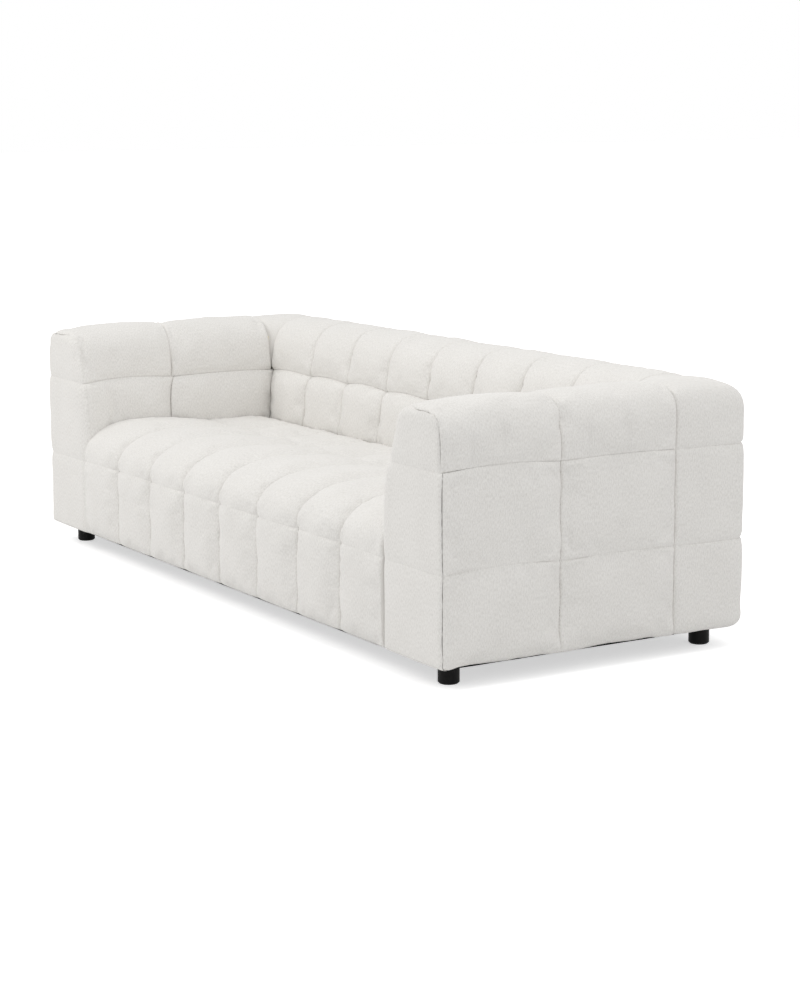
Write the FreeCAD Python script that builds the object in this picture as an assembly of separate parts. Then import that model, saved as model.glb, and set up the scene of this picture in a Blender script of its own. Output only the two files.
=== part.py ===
# Channel-quilted tuxedo sofa: boxed board frame, sprung seat, foam pads, quilted covers, round feet.
# Millimetres, +Z up. Origin: centre of the sofa on the floor. X runs along the sofa, the front faces -Y.
# Left and right are as seen from the front, so left is -X.
import FreeCAD, Part
import math
import os

os.makedirs("parts", exist_ok=True)

# Overall sizes
overall_width = 2464.0
overall_depth = 970.0
half_width = overall_width / 2
half_depth = overall_depth / 2

# Heights
foot_height = 62.0
cover_bottom = 57.0
lower_row = 296.0
upper_row = 551.0
deck_height = 240.0
seat_foam_bottom = 250.0
seat_foam_top = 370.0
frame_top = 650.0

# Distances in from the outer faces, the same for the arms and the back
cover_inner = 28.0
hardboard = 4.0
frame_outer = cover_inner + hardboard
frame_inner = 165.0
row_seam_inner = 232.0
front_face = -half_depth + 5.0
front_back = front_face + 20.0

# Quilting grid
channel_count = 8
channel_pitch = 235.5
seat_edge = channel_count * channel_pitch / 2
back_pitch = 243.0
arm_seam = -116.0
corner_seam = half_depth - row_seam_inner - 8.0
back_corner_seam = half_width - row_seam_inner

# The rear corners' outer turn
corner_radius = 42.0
corner_steps = 4

# Boards and rails
board = 18.0
rail = 25.0

# Feet
foot_radius = 28.0
foot_chamfer = 4.0
foot_inset_side = 98.0
foot_inset_end = 86.0
bolt_radius = 4.0
bolt_bottom = 28.0
nut_radius = 7.5
nut_height = 6.5

# Straight runs that each arc of a pad's outline is divided into
ARC_RUNS = 3
# How far across a pad each lofted section stands, and how much of the seam depth it has there
PAD_STEPS = ((0.07, 0.52), (0.22, 0.15), (0.5, 0.0), (0.78, 0.15), (0.93, 0.52))


def vec(x, y, z):
    return FreeCAD.Vector(x, y, z)


def box(x0, x1, y0, y1, z0, z1):
    return Part.makeBox(x1 - x0, y1 - y0, z1 - z0, vec(x0, y0, z0))


def cylinder(x, y, z0, z1, radius):
    return Part.makeCylinder(radius, z1 - z0, vec(x, y, z0))


def mirrored(shape):
    return shape.mirror(vec(0, 0, 0), vec(1, 0, 0))


def save(name, shape):
    solids = shape.Solids
    print(name, len(solids), "solids", round(sum(s.Volume for s in solids) / 1e6, 3), "litres")
    shape.exportStep("parts/" + name + ".step")


def save_pair(name, right_shape):
    save("right_" + name, right_shape)
    save("left_" + name, mirrored(right_shape))


def prism(points, direction):
    loop = [vec(*p) for p in points]
    return Part.Face(Part.makePolygon(loop + loop[:1])).extrude(direction)


# Lofted pads

def pinched(outline, depth):
    """The crowned outline with each point drawn in along its own direction.

    A row of the outline is (across, up, outward angle, seam depth), and depth 0 leaves the crown as it is.
    """
    points = []
    for across, up, angle, seam in outline:
        turn = math.radians(angle)
        inward = depth * seam
        points.append((across - inward * math.cos(turn), up - inward * math.sin(turn)))
    return points


def section(outline, inner, depth, place):
    """A ring of points along arcs through each three points of the outline, and back along the inner side."""
    outer = [place(*p) for p in pinched(outline, depth)]
    ring = [outer[0]]
    for i in range(0, len(outer) - 2, 2):
        ring += Part.Arc(*outer[i:i + 3]).toShape().discretize(ARC_RUNS + 1)[1:]
    return ring + [place(*p) for p in inner]


def flat_face(points):
    return Part.Face(Part.makePolygon(points + points[:1]))


def side_faces(a, b, c, d):
    """One flat face where the four points lie in a plane, and otherwise two triangles."""
    if abs((b - a).cross(c - a).dot(d - a)) < 1e-6:
        return [flat_face([a, b, c, d])]
    return [flat_face([a, b, c]), flat_face([a, c, d])]


def loft(rings):
    """A closed solid of flat facets through rings of points that all have the same number of points."""
    faces = [flat_face(rings[0]), flat_face(rings[-1])]
    for near, far in zip(rings, rings[1:]):
        for i, point in enumerate(near):
            faces += side_faces(point, near[i - 1], far[i - 1], far[i])
    shell = Part.makeShell(faces)
    shell.sewShape()
    solid = Part.makeSolid(shell)
    if solid.Volume < 0:
        solid.reverse()
    return solid


def stations(seams):
    """Section places along a row of pads. Each seam is (plane, depth), and a plane is (offset, slope)."""
    places = []
    for (start, start_depth), (end, end_depth) in zip(seams, seams[1:]):
        places.append((start, start_depth))
        for part, share in PAD_STEPS:
            plane = tuple(a + (b - a) * part for a, b in zip(start, end))
            near = start_depth if part < 0.5 else end_depth
            places.append((plane, share * near))
    places.append(seams[-1])
    return places


def along_arm(plane):
    """Places (distance in from the outer face, height) on a section plane across the right arm."""
    return lambda inward, up: vec(half_width - inward, plane[0] + plane[1] * inward, up)


def along_back(plane):
    return lambda inward, up: vec(plane[0] + plane[1] * inward, half_depth - inward, up)


def quilted(outline, inner, seams, run):
    return loft([section(outline, inner, depth, run(plane)) for plane, depth in stations(seams)])


# Outlines of the covers, as (distance in, height, outward angle, seam depth)
CAP_OUTLINE = (
    (10, upper_row + 1, 180, 2), (1, 612, 180, 9), (4, 672, 170, 11),
    (17, 708, 140, 14), (48, 725, 100, 13), (125, 731, 90, 14),
    (192, 718, 70, 15), (238, 678, 35, 17), (256, 625, 0, 16),
    (253, 586, -10, 15), (row_seam_inner, upper_row - 5, -20, 2),
)
CAP_INNER = (
    (206, upper_row - 5), (222, 620), (214, 655), (185, 690),
    (45, 692), (cover_inner, 678), (cover_inner, upper_row + 1),
)
INNER_OUTLINE = (
    (row_seam_inner, upper_row - 5, 20, 2), (277, 476, 10, 14), (285, seat_foam_top + 1, 0, 8),
)
INNER_INNER = ((262, seat_foam_top + 1), (262, 440), (206, upper_row - 5))
OUTER_OUTLINE = (
    (8, cover_bottom, 180, 4), (0, 177, 180, 10), (10, lower_row, 180, 2),
    (0, 424, 180, 10), (10, upper_row - 1, 180, 2),
)
OUTER_INNER = ((cover_inner, upper_row - 1), (cover_inner, cover_bottom))
FOAM_OUTLINE = (
    (frame_inner + hardboard, seat_foam_top), (262, seat_foam_top), (262, 440), (206, upper_row - 5),
    (222, 620), (214, 655), (185, 690), (45, 692), (cover_inner, 678), (cover_inner, frame_top),
    (frame_inner + hardboard, frame_top),
)

front_plane = (front_back + 1.0, 0.0)
mitre_plane = (half_depth, -1.0)
corner_plane = (corner_seam, 0.0)
arm_plane = (arm_seam, 0.0)
left_mitre = (-half_width, 1.0)
right_mitre = (half_width, -1.0)


def back_seams(first, last):
    """Seam planes of the back: the two ends given, and seven seams at even pitch between them."""
    middle = [((i * back_pitch, 0.0), 1.0) for i in range(-3, 4)]
    return [(first, 1.2)] + middle + [(last, 1.2)]


def arm_cap_cover():
    seams = [(front_plane, 1.3), (arm_plane, 1.0), (corner_plane, 1.3)]
    return quilted(CAP_OUTLINE, CAP_INNER, seams, along_arm)


def arm_inner_cover():
    """Its rear end is cut at 45 degrees to meet the back's inner cover."""
    seams = [(front_plane, 0.8), (arm_plane, 1.0), (mitre_plane, 1.0)]
    return quilted(INNER_OUTLINE, INNER_INNER, seams, along_arm)


def arm_outer_cover():
    seams = [(front_plane, 0.8), (arm_plane, 1.0), (corner_plane, 1.0)]
    return quilted(OUTER_OUTLINE, OUTER_INNER, seams, along_arm)


def back_cap_cover():
    ends = (-back_corner_seam, 0.0), (back_corner_seam, 0.0)
    return quilted(CAP_OUTLINE, CAP_INNER, back_seams(*ends), along_back)


def back_inner_cover():
    return quilted(INNER_OUTLINE, INNER_INNER, back_seams(left_mitre, right_mitre), along_back)


def back_outer_cover():
    ends = (-back_corner_seam, 0.0), (back_corner_seam, 0.0)
    return quilted(OUTER_OUTLINE, OUTER_INNER, back_seams(*ends), along_back)


def foam_run(start, end, run):
    """Foam of the arms and the back: a deep pad on the inner side and a strip over the frame's top."""
    return loft([[run(plane)(*p) for p in FOAM_OUTLINE] for plane in (start, end)])


# Upright pads: the arm's front and the corner, lofted from the bottom to the top
# A level is (height, share of the row seam's depth)
ROW_LEVELS = (
    (cover_bottom, 0.6), (78, 0.25), (120, 0.05), (177, 0.0), (234, 0.05), (275, 0.35),
    (lower_row, 1.0), (317, 0.35), (360, 0.05), (424, 0.0), (488, 0.05), (530, 0.35),
    (upper_row, 1.0), (572, 0.35), (612, 0.05),
)
# Depth that the row seams draw the arm's front and the corner in by
front_pinch = 7.0
front_side_pinch = 2.0
corner_pinch = 9.0
# Where the arm's front starts to narrow, over what height, and by how much
narrow_from = 400.0
narrow_height = 250.0
narrow_by = 58.0
narrow_power = 1.3
front_inset = 7.0
front_reach = 289.0
# Level of the frame's top edge that the corner cover is hollowed up to
corner_hollow_top = 692.0


def front_section(outer, inner, crown, up):
    """Level section of an arm's front panel: a tight sewn corner outside and a soft turn inside."""
    face = front_face - 2.0 + crown
    right = half_width - outer
    left = half_width - inner
    middle = (left + right) / 2
    points = (
        (right, front_back), (right, face + 9), (right - 3, face + 3), (right - 10, face + 1),
        (middle + 40, face - 2), (middle - 40, face - 2),
        (left + 26, face + 1), (left + 10, face + 5), (left + 2, face + 12), (left, front_back),
    )
    return [vec(x, y, up) for x, y in points]


def arm_front_cover():
    """The panel narrows upwards on its inner side, and its top edge is a low arch.

    A top level is (height, distance in of the outer and the inner side, depth that the face is drawn in by).
    """
    top_levels = (
        (650, 14, 231, 0), (680, 20, 208, 0), (694, 30, 190, 2), (704, 46, 168, 4), (709, 70, 140, 7),
    )
    rings = []
    for up, share in ROW_LEVELS:
        lean = max(0.0, up - narrow_from) / narrow_height
        outer = front_inset + front_side_pinch * share
        inner = front_reach - narrow_by * lean ** narrow_power
        rings.append(front_section(outer, inner, front_pinch * share, up))
    for up, outer, inner, pinch in top_levels:
        rings.append(front_section(outer, inner, pinch, up))
    return loft(rings)


def corner_section(outset, gap, cut, up):
    """Level section of the rear corner: square to the two seams, round outside, cut at the inner corner."""
    outer_x, outer_y = half_width - outset, half_depth - outset
    inner_x, inner_y = back_corner_seam + 0.5 + gap, corner_seam + 0.5 + gap
    points = [(outer_x, inner_y)]
    centre_x, centre_y = outer_x - corner_radius, outer_y - corner_radius
    for step in range(corner_steps + 1):
        turn = math.pi / 2 * step / corner_steps
        points.append((centre_x + corner_radius * math.cos(turn), centre_y + corner_radius * math.sin(turn)))
    points += [(inner_x, outer_y), (inner_x, inner_y + cut), (inner_x + cut, inner_y)]
    return [vec(x, y, up) for x, y in points]


def corner_cover():
    """The rear corner's own cover: three rows of pads that turn the corner, closed by a crowned square top.

    A top level is (height, distance in of the outer faces, gap to the two seams, cut of the inner corner).
    """
    top_levels = (
        (650, 2, 0, 6), (680, 8, 0, 18), (700, 15, 1, 36),
        (714, 28, 8, 44), (723, 44, 26, 50), (729, 66, 50, 50),
    )
    rings = []
    for up, share in ROW_LEVELS:
        rings.append(corner_section(1 + corner_pinch * share, 0.0, 4.0, up))
    for up, outset, gap, cut in top_levels:
        rings.append(corner_section(outset, gap, cut, up))
    core = box(0, half_width - cover_inner, 0, half_depth - cover_inner, 0, corner_hollow_top)
    return loft(rings).cut(core)


# Seat cover, as (y, height, outward angle, seam depth), from the back pad to the bottom of the front
seat_back_edge = half_depth - 290.0
SEAT_OUTLINE = (
    (seat_back_edge, 410, 90, 12), (80, 427, 90, 20), (-50, 413, 90, 14),
    (-225, 440, 90, 28), (-385, 425, 100, 26), (-463, 388, 140, 26),
    (-half_depth + 2, lower_row + 2, 180, 8), (-half_depth, 177, 180, 13),
    (-half_depth + 7, cover_bottom, 180, 6),
)
FOAM_EDGE = ((front_back, 318), (-443, 354), (-405, seat_foam_top))
# Share of the seam depth at the seat's two ends, which stand against the arms
seat_end_depth = 0.45


def across_seat(x):
    return lambda y, z: vec(x, y, z)


def seat_cover():
    """Eight sewn channels that run over the rounded front edge and down the front."""
    inner = ((front_back, cover_bottom),) + FOAM_EDGE + ((seat_back_edge, seat_foam_top),)
    seams = []
    for i in range(channel_count + 1):
        depth = seat_end_depth if i in (0, channel_count) else 1.0
        seams.append(((-seat_edge + i * channel_pitch, 0.0), depth))
    rings = [section(SEAT_OUTLINE, inner, depth, across_seat(plane[0])) for plane, depth in stations(seams)]
    return loft(rings)


def seat_foam():
    """One slab that runs under the arms' and the back's pads, with a rounded front edge."""
    width = half_width - frame_inner - 1.0
    rear = half_depth - frame_inner - 1.0
    side = ((front_back, seat_foam_bottom),) + FOAM_EDGE + ((rear, seat_foam_top), (rear, seat_foam_bottom))
    return prism([(-width, y, z) for y, z in side], vec(2 * width, 0, 0))


# Seat frame and springs
frame_half = half_width - frame_inner
rail_front = front_back
rail_rear = half_depth - frame_inner
cross_rail_top = 200.0
side_cross_place = 563.5
cross_places = (-side_cross_place, 0.0, side_cross_place)
housing = 8.0
block_leg = 70.0
block_height = 110.0


def cross_rail(x):
    """A stretcher whose ends are housed in the front and rear rails."""
    y0, y1 = rail_front + rail - housing, rail_rear + housing
    return box(x - rail / 2, x + rail / 2, y0, y1, foot_height, cross_rail_top)


def centre_cross_rail():
    """The middle stretcher is bored from below for the middle foot's bolt."""
    return cross_rail(0.0).cut(cylinder(0, 0, foot_height - 1, bolt_top, bolt_radius))


def long_rail(y0):
    body = box(-frame_half, frame_half, y0, y0 + rail, foot_height, deck_height)
    for x in cross_places:
        body = body.cut(cross_rail(x))
    return body


def side_rail():
    return box(frame_half - rail, frame_half, rail_front + rail, rail_rear, foot_height, deck_height)


def corner_blocks():
    """Glued blocks in the four corners of the seat frame."""
    blocks = []
    for side in (-1, 1):
        for y, turn in ((rail_front + rail, 1), (rail_rear, -1)):
            x = side * (frame_half - rail)
            end_x, end_y = x - side * block_leg, y + turn * block_leg
            corner = [(x, y, foot_height), (end_x, y, foot_height), (x, end_y, foot_height)]
            blocks.append(prism(corner, vec(0, 0, block_height)))
    return Part.Compound(blocks)


spring_count = 10
spring_wire = 4.0
spring_width = 56.0
spring_margin = 100.0
spring_pitch = 2 * (frame_half - spring_margin) / (spring_count - 1)
spring_bars = 19
spring_front = rail_front + 10.0
spring_step = (rail_rear + 8.0 - spring_front) / (spring_bars - 1)
spring_bottom = deck_height
# How far along one step the bar's far end stands
bar_lean = 0.18
clip_height = 5.4
clip_half = 10.0


def spring_places():
    return [(i - (spring_count - 1) / 2) * spring_pitch for i in range(spring_count)]


def ribbon(points, width, height, bottom):
    """A flat-lying wire of square section along a level path, mitred at its turns."""
    directions = []
    for (x0, y0), (x1, y1) in zip(points, points[1:]):
        run = math.hypot(x1 - x0, y1 - y0)
        directions.append(((x1 - x0) / run, (y1 - y0) / run))
    left, right = [], []
    for i, (x, y) in enumerate(points):
        before = directions[max(i - 1, 0)]
        after = directions[min(i, len(directions) - 1)]
        nx, ny = -(before[1] + after[1]), before[0] + after[0]
        scale = (width / 2) / ((nx * -after[1] + ny * after[0]) or 1.0)
        left.append((x + nx * scale, y + ny * scale, bottom))
        right.append((x - nx * scale, y - ny * scale, bottom))
    return prism(left + right[::-1], vec(0, 0, height))


def sinuous_spring(x):
    """One wire that runs to and fro across its width from the front rail to the rear rail."""
    half = spring_width / 2
    points = []
    for i in range(spring_bars):
        y = spring_front + i * spring_step
        ends = (x - half, x + half) if i % 2 == 0 else (x + half, x - half)
        points += [(ends[0], y), (ends[1], y + spring_step * bar_lean)]
    return ribbon(points, spring_wire, spring_wire, spring_bottom)


def seat_springs():
    return Part.Compound([sinuous_spring(x) for x in spring_places()])


def spring_clip(x, y):
    """A bent steel clip nailed to the rail, whose hook closes over the spring's end bar."""
    steel = 1.2
    hook_out = 4.6
    hook_in = hook_out - steel
    side = (
        (hook_in, 0), (clip_half, 0), (clip_half, steel), (hook_out, steel), (hook_out, clip_height),
    )
    under = ((-hook_in, 0), (-hook_in, clip_height - steel), (hook_in, clip_height - steel))
    profile = side + tuple((-dy, dz) for dy, dz in side[:0:-1]) + under
    points = [(x - clip_half, y + dy, spring_bottom + dz) for dy, dz in profile]
    return prism(points, vec(2 * clip_half, 0, 0))


def spring_clips():
    last = spring_front + (spring_bars - 1) * spring_step
    lean = spring_step * bar_lean / 2
    clips = []
    for x in spring_places():
        clips += [spring_clip(x, spring_front + lean), spring_clip(x, last + lean)]
    return Part.Compound(clips)


def deck_felt():
    """Felt that keeps the springs from cutting into the foam."""
    edge = frame_half - 1
    return box(-edge, edge, rail_front, rail_rear - 1, deck_height + clip_height, seat_foam_bottom)


# Arm frame, right arm
arm_out = half_width - frame_outer
arm_in = half_width - frame_inner
arm_rear = half_depth - frame_outer
middle_board_place = -120.0

# Cut-outs of the upright boards
web = 38.0
cut_bottom = 300.0
cut_top = 560.0

# Bolt holes are a loose fit
bolt_play = 1.5


def arm_base_board():
    """The arm's floor, bored for the feet's bolts."""
    shape = box(arm_in, arm_out, front_back + board, arm_rear, foot_height, foot_height + board)
    for x, y in foot_places()[2:]:
        shape = shape.cut(cylinder(x, y, foot_height - 1, foot_height + board + 1, bolt_radius + bolt_play))
    return shape


def arm_front_board():
    """The shaped board behind the front panel, cut to the arm's outline."""
    seat_level = seat_foam_top + 2
    outline = (
        (frame_outer, foot_height), (frame_outer, 640), (60, 680), (170, 680), (205, 640), (195, 560),
        (250, 430), (250, seat_level), (frame_inner, seat_level), (frame_inner, foot_height),
    )
    points = [(half_width - inward, front_back, up) for inward, up in outline]
    return prism(points, vec(0, board, 0))


def arm_rib(y):
    """An upright board across the arm, with a cut-out to save weight."""
    shape = box(arm_in, arm_out, y, y + board, foot_height + board, frame_top - board)
    return shape.cut(box(arm_in + web, arm_out - web, y - 1, y + board + 1, cut_bottom, cut_top))


def arm_top_board():
    return box(arm_in, arm_out, front_back + board, arm_rear, frame_top - board, frame_top)


def arm_outer_board():
    return box(arm_out, arm_out + hardboard, front_back + board, arm_rear, foot_height, frame_top)


def arm_inner_board():
    return box(arm_in - hardboard, arm_in, front_back + board, rail_rear, seat_foam_top + 1, frame_top)


# Back frame
back_in = half_depth - frame_inner
back_out = half_depth - frame_outer
post_pitch = 405.0
post_places = [i * post_pitch for i in range(-2, 3)]
liner_bottom = 262.0
liner_top = 322.0


def back_liner_rail():
    """The rail just above the seat that the back's straps are fixed to."""
    return box(-arm_in, arm_in, back_in, back_in + board, liner_bottom, liner_top)


def back_posts():
    """Upright boards between the rear rail and the top board, notched over the rail."""
    posts = []
    for x in post_places:
        x0, x1 = x - board, x + board
        post = box(x - board / 2, x + board / 2, back_in, back_out, foot_height + board, frame_top - board)
        rail_notch = box(x0, x1, back_in - 1, back_in + rail, foot_height, deck_height)
        liner_notch = box(x0, x1, back_in - 1, back_in + board, liner_bottom, liner_top)
        hole = box(x0, x1, back_in + web, back_out - web, cut_bottom + web, cut_top)
        posts.append(post.cut(rail_notch).cut(liner_notch).cut(hole))
    return Part.Compound(posts)


def back_top_board():
    return box(-arm_in, arm_in, back_in, back_out, frame_top - board, frame_top)


def back_base_board():
    return box(-arm_in, arm_in, back_in + rail, back_out, foot_height, foot_height + board)


def back_outer_board():
    return box(-arm_out, arm_out, back_out, back_out + hardboard, foot_height, frame_top)


# Elastic straps of the back: they change plane within web_turn above and below each crossing
web_width = 60.0
web_thick = 0.8
web_count = 9
web_rows = (400.0, 480.0, 560.0)
web_gap = 0.1
web_turn = 30.0
level_web_half = 15.0


def upright_web(x, first_turn):
    """One strap from the liner rail up to the top board, passing before every other level strap."""
    forward = 2 * (web_thick + web_gap)
    reach = level_web_half + 2.0
    stops = [(liner_bottom + 3, 0), (web_rows[0] - web_turn, 0)]
    for i, up in enumerate(web_rows):
        ahead = forward if (i + first_turn) % 2 else 0
        stops += [(up - reach, ahead), (up + reach, ahead), (up + web_turn, 0)]
    stops.append((frame_top, 0))
    rear = [(x - web_width / 2, back_in - ahead, up) for up, ahead in stops]
    front = [(px, py - web_thick, pz) for px, py, pz in rear[::-1]]
    return prism(rear + front, vec(web_width, 0, 0))


def back_webbing_upright():
    pitch = 2 * frame_half / (web_count + 0.5)
    return Part.Compound([upright_web((i - (web_count - 1) / 2) * pitch, i) for i in range(web_count)])


def back_webbing_level():
    """Three level straps between the arms' inner boards."""
    end = arm_in - hardboard
    rear = back_in - web_thick - web_gap
    half = level_web_half
    return Part.Compound([box(-end, end, rear - web_thick, rear, up - half, up + half) for up in web_rows])


# Feet, bolts and dust cover
bolt_top = foot_height + board + nut_height + 3.0
dust_cloth = 2.0
dust_inset = 34.0
dust_play = 2.0


def foot_places():
    """Left pair, then right pair, front first."""
    x = half_width - foot_inset_side
    y = half_depth - foot_inset_end
    return [(-x, -y), (-x, y), (x, -y), (x, y)]


def foot(x, y):
    """A turned plastic foot with an eased bottom edge and a socket for its bolt."""
    tip = Part.makeCone(foot_radius - foot_chamfer, foot_radius, foot_chamfer, vec(x, y, 0))
    body = tip.fuse(cylinder(x, y, foot_chamfer, foot_height, foot_radius))
    return body.cut(cylinder(x, y, bolt_bottom, foot_height + 1, bolt_radius))


def foot_bolt(x, y):
    return cylinder(x, y, bolt_bottom, bolt_top, bolt_radius)


def hex_nut(x, y):
    """A nut on the arm's floor that draws the bolt and its foot up."""
    z = foot_height + board
    corners = [math.pi / 3 * i for i in range(6)]
    points = [(x + nut_radius * math.cos(a), y + nut_radius * math.sin(a), z) for a in corners]
    return prism(points, vec(0, 0, nut_height)).cut(cylinder(x, y, z - 1, z + nut_height + 1, bolt_radius))


def dust_cover():
    """Black cloth across the whole underside, cut out round the feet."""
    side, rear = half_width - dust_inset, half_depth - dust_inset
    gap = foot_radius + dust_play
    shape = box(-side, side, front_back, rear, foot_height - dust_cloth, foot_height)
    for x, y in foot_places() + [(0.0, 0.0)]:
        shape = shape.cut(box(x - gap, x + gap, y - gap, y + gap, 0, foot_height + 1))
    return shape


save("front_rail", long_rail(rail_front))
save("rear_rail", long_rail(rail_rear))
save_pair("side_rail", side_rail())
save("centre_cross_rail", centre_cross_rail())
save("side_cross_rails", Part.Compound([cross_rail(-side_cross_place), cross_rail(side_cross_place)]))
save("corner_blocks", corner_blocks())
save("seat_springs", seat_springs())
save("spring_clips", spring_clips())
save("deck_felt", deck_felt())
save("seat_foam", seat_foam())
save("seat_cover", seat_cover())

save_pair("arm_base_board", arm_base_board())
save_pair("arm_front_board", arm_front_board())
save_pair("arm_middle_board", arm_rib(middle_board_place))
save_pair("arm_rear_board", arm_rib(back_in - board))
save_pair("arm_top_board", arm_top_board())
save_pair("arm_outer_board", arm_outer_board())
save_pair("arm_inner_board", arm_inner_board())
save_pair("arm_foam", foam_run((front_back + board, 0.0), mitre_plane, along_arm))
save_pair("arm_outer_cover", arm_outer_cover())
save_pair("arm_cap_cover", arm_cap_cover())
save_pair("arm_inner_cover", arm_inner_cover())
save_pair("arm_front_cover", arm_front_cover())
save_pair("corner_cover", corner_cover())

save("back_liner_rail", back_liner_rail())
save("back_posts", back_posts())
save("back_top_board", back_top_board())
save("back_base_board", back_base_board())
save("back_outer_board", back_outer_board())
save("back_webbing_upright", back_webbing_upright())
save("back_webbing_level", back_webbing_level())
save("back_foam", foam_run(left_mitre, right_mitre, along_back))
save("back_inner_cover", back_inner_cover())
save("back_cap_cover", back_cap_cover())
save("back_outer_cover", back_outer_cover())

save("feet", Part.Compound([foot(*p) for p in foot_places() + [(0.0, 0.0)]]))
save("foot_bolts", Part.Compound([foot_bolt(*p) for p in foot_places() + [(0.0, 0.0)]]))
save("foot_nuts", Part.Compound([hex_nut(*p) for p in foot_places()]))
save("dust_cover", dust_cover())
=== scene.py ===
# A tuxedo sofa dressed for view: ivory weave quilted over a boarded and sprung frame, on round feet.
# Metres, in the sofa's own frame: X runs along it, the front faces -Y, and the floor is at z = 0.
import math

import bpy
import numpy as np
from mathutils import Matrix, Vector


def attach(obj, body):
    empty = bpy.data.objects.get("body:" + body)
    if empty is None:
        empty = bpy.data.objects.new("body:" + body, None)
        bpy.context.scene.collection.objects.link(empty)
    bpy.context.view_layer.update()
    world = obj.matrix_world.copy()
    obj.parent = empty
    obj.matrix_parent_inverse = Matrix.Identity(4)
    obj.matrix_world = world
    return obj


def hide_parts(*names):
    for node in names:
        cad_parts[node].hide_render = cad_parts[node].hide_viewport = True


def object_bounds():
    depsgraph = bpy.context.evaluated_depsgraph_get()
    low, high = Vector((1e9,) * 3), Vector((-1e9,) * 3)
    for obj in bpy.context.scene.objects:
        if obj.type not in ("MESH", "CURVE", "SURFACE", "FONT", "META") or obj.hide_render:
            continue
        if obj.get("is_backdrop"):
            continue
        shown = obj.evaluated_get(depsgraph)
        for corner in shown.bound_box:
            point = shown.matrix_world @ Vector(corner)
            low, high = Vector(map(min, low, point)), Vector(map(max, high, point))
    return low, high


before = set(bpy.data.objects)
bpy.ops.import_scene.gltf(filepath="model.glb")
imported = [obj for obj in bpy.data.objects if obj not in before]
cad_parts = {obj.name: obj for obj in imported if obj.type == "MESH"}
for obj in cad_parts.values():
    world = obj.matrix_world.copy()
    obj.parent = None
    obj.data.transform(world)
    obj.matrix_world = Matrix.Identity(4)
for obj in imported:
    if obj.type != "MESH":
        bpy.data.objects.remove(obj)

cad_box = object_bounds()
scene = bpy.context.scene


# Camera
# It stands at the sofa's right front, a little above the seat, as far off as a whole room allows.
# The long lens keeps the far arm nearly as large as the near one.
frame_height_px = 1000
focal_px = 2269.1
sensor_mm = 36.0
camera_place = (5.8186, -3.3692, 1.4372)
camera_turn = math.radians(58.86)
camera_tilt = math.radians(9.92)
camera_roll = math.radians(-0.35)


def put(name, data):
    """A new object in the scene."""
    made = bpy.data.objects.new(name, data)
    scene.collection.objects.link(made)
    return made


lens = bpy.data.cameras.new("camera")
lens.sensor_fit = "VERTICAL"
lens.sensor_height = sensor_mm
lens.lens = focal_px * sensor_mm / frame_height_px
camera = put("camera", lens)
level = Matrix.Rotation(camera_turn, 4, "Z") @ Matrix.Rotation(math.pi / 2 - camera_tilt, 4, "X")
camera.matrix_world = Matrix.Translation(camera_place) @ level @ Matrix.Rotation(camera_roll, 4, "Z")
scene.camera = camera


# Boards and rails
# Birch plywood, sawn, glued and stapled. The grain runs along each board, and the faces are left raw.
# The hardboard that closes the arms and the back is pressed brown fibre.
birch_pale = (0.62, 0.45, 0.27)
birch_dark = (0.42, 0.27, 0.14)
hardboard_pale = (0.25, 0.14, 0.07)
hardboard_dark = (0.15, 0.08, 0.04)


def new_finish(name, roughness, specular=0.5, metallic=0.0):
    """A material whose even values are set on the shader itself."""
    material = bpy.data.materials.new(name)
    material.use_nodes = True
    shader = material.node_tree.nodes["Principled BSDF"]
    shader.inputs["Roughness"].default_value = roughness
    shader.inputs["Specular IOR Level"].default_value = specular
    shader.inputs["Metallic"].default_value = metallic
    return material, material.node_tree, shader


def add(tree, kind, values, wires=()):
    """A shader node with its values, and wires given as (input, node, output)."""
    made = tree.nodes.new("ShaderNode" + kind)
    for name, value in values.items():
        if isinstance(name, int) or name in made.inputs:
            made.inputs[name].default_value = value
        else:
            setattr(made, name, value)
    for name, source, output in wires:
        tree.links.new(source.outputs[output], made.inputs[name])
    return made


def grain(tree, scale, detail=2.0, source=None, kind="TexNoise", **more):
    """The wire of a pattern over the object or another source, at one scale or stretched by three."""
    wire = source or (add(tree, "TexCoord", {}), "Object")
    if not isinstance(scale, float):
        wire = add(tree, "Mapping", {"Scale": scale}, [("Vector", *wire)]), "Vector"
        scale = 1.0
    made = add(tree, kind, {"Scale": scale, "Detail": detail, **more}, [("Vector", *wire)])
    return made, "Distance" if kind == "TexVoronoi" else "Fac"


def combined(tree, operation, *parts):
    """The wire of an operation on wires and plain numbers."""
    values = {i: part for i, part in enumerate(parts) if isinstance(part, float)}
    wires = [(i, *part) for i, part in enumerate(parts) if i not in values]
    return add(tree, "Math", {"operation": operation, **values}, wires), "Value"


def two_tones(tree, shader, wire, low, high, dark, pale):
    """Colours that run from dark to pale over part of a pattern's range."""
    ramp = add(tree, "ValToRGB", {}, [("Fac", *wire)])
    for stop, place, colour in zip(ramp.color_ramp.elements, (low, high), (dark, pale)):
        stop.position = place
        stop.color = (*colour, 1)
    tree.links.new(ramp.outputs["Color"], shader.inputs["Base Color"])


def raise_by(tree, shader, wire, strength, distance):
    """Relief from a pattern's height."""
    bump = add(tree, "Bump", {"Strength": strength, "Distance": distance}, [("Height", *wire)])
    tree.links.new(bump.outputs["Normal"], shader.inputs["Normal"])


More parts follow.
